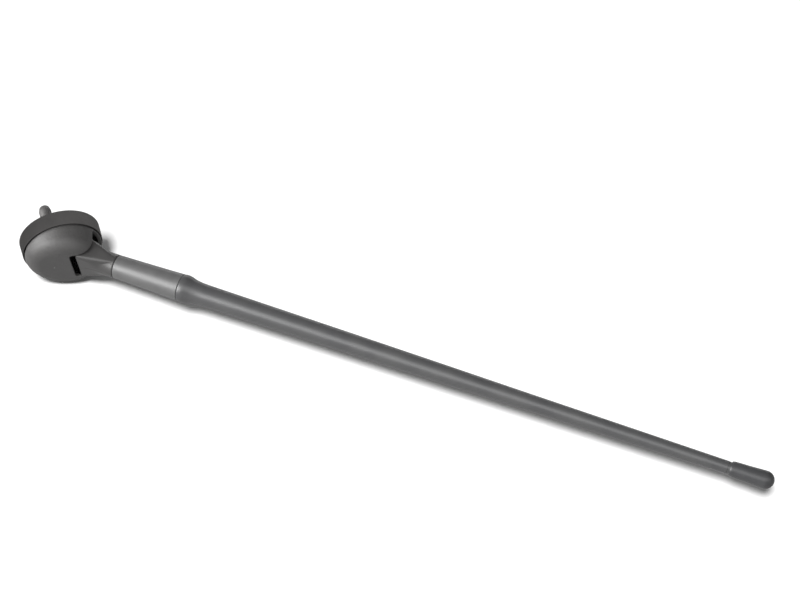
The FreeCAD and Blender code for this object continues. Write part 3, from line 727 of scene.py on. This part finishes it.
paper.use_nodes = True
tree = paper.node_tree
tree.nodes.clear()
end = tree.nodes.new("ShaderNodeOutputMaterial")
white = tree.nodes.new("ShaderNodeBsdfDiffuse")
white.inputs["Color"].default_value = (0.9, 0.9, 0.9, 1.0)
through = tree.nodes.new("ShaderNodeBsdfTransparent")
sort = tree.nodes.new("ShaderNodeMixShader")
where = tree.nodes.new("ShaderNodeNewGeometry")
tree.links.new(where.outputs["Backfacing"], sort.inputs["Fac"])
# the floor throws back less light than it shows, so that the undersides stay dark
dim = tree.nodes.new("ShaderNodeBsdfDiffuse")
dim.inputs["Color"].default_value = (0.42, 0.42, 0.42, 1.0)
seen = tree.nodes.new("ShaderNodeLightPath")
pick = tree.nodes.new("ShaderNodeMixShader")
tree.links.new(seen.outputs["Is Camera Ray"], pick.inputs["Fac"])
tree.links.new(dim.outputs[0], pick.inputs[1])
tree.links.new(white.outputs[0], pick.inputs[2])
tree.links.new(pick.outputs[0], sort.inputs[1])
tree.links.new(through.outputs[0], sort.inputs[2])
tree.links.new(sort.outputs[0], end.inputs["Surface"])
me.materials.append(paper)
ground = bpy.data.collections.new("ground_lit")
ground.objects.link(floor)
keyed = bpy.data.collections.new("keyed")
for o in part_meshes:
    lit.objects.link(o)
    if o.name != "gasket_ring":
        keyed.objects.link(o)


def panel(name, at, wide_m, high_m, watts, receivers):
    data = bpy.data.lights.new(name, "AREA")
    data.shape = "RECTANGLE"
    data.size, data.size_y = wide_m, high_m
    data.energy = watts
    o = bpy.data.objects.new(name, data)
    bpy.context.scene.collection.objects.link(o)
    o.location = centre + SIDE_WAY * at[0] + FRONT * at[1] + UP * at[2]
    o.rotation_mode = "QUATERNION"
    back = (o.location - centre).normalized()
    x = (SIDE_WAY - back * SIDE_WAY.dot(back)).normalized()
    y = back.cross(x)
    o.rotation_quaternion = Matrix((x, y, back)).transposed().to_quaternion()
    o.visible_camera = False
    o.light_linking.receiver_collection = receivers
    return o


# wide panel over the part, a key panel on the left, a weak one on the right, one behind for the far side, and an even soft light from above for the floor
panel("over", (-0.1, 1.1, 1.55), 2.2, 1.3, 20.0, lit)
panel("left", (-1.76, 0.51, 0.92), 1.4, 1.4, 80.0, keyed)
panel("right", (1.6, 0.9, 1.0), 1.5, 1.5, 8.0, lit)
panel("back", (0.1, -1.95, -0.45), 2.0, 1.4, 34.0, lit)
data = bpy.data.lights.new("overhead", "SUN")
data.energy = 4.2
data.angle = math.radians(15.0)
overhead = bpy.data.objects.new("overhead", data)
bpy.context.scene.collection.objects.link(overhead)
travel = (FORWARD + 0.14 * RIGHT + 0.25 * DOWN).normalized()
overhead.rotation_mode = "QUATERNION"
overhead.rotation_quaternion = travel.to_track_quat("-Z", "Y")
overhead.location = centre - travel * 2.0
overhead.light_linking.receiver_collection = ground

world = bpy.data.worlds.new("studio")
bpy.context.scene.world = world
world.use_nodes = True
tree = world.node_tree
tree.nodes.clear()
end = tree.nodes.new("ShaderNodeOutputWorld")
soft = tree.nodes.new("ShaderNodeBackground")
soft.inputs["Color"].default_value = (1.0, 1.0, 1.0, 1.0)
soft.inputs["Strength"].default_value = 0.2
clear = tree.nodes.new("ShaderNodeBackground")
clear.inputs["Color"].default_value = (1.0, 1.0, 1.0, 1.0)
clear.inputs["Strength"].default_value = 1.0
path = tree.nodes.new("ShaderNodeLightPath")
sort = tree.nodes.new("ShaderNodeMixShader")
tree.links.new(path.outputs["Is Camera Ray"], sort.inputs["Fac"])
tree.links.new(soft.outputs[0], sort.inputs[1])
tree.links.new(clear.outputs[0], sort.inputs[2])
tree.links.new(sort.outputs[0], end.inputs["Surface"])

bpy.context.scene.view_settings.view_transform = "Standard"
bpy.context.scene.view_settings.look = "None"
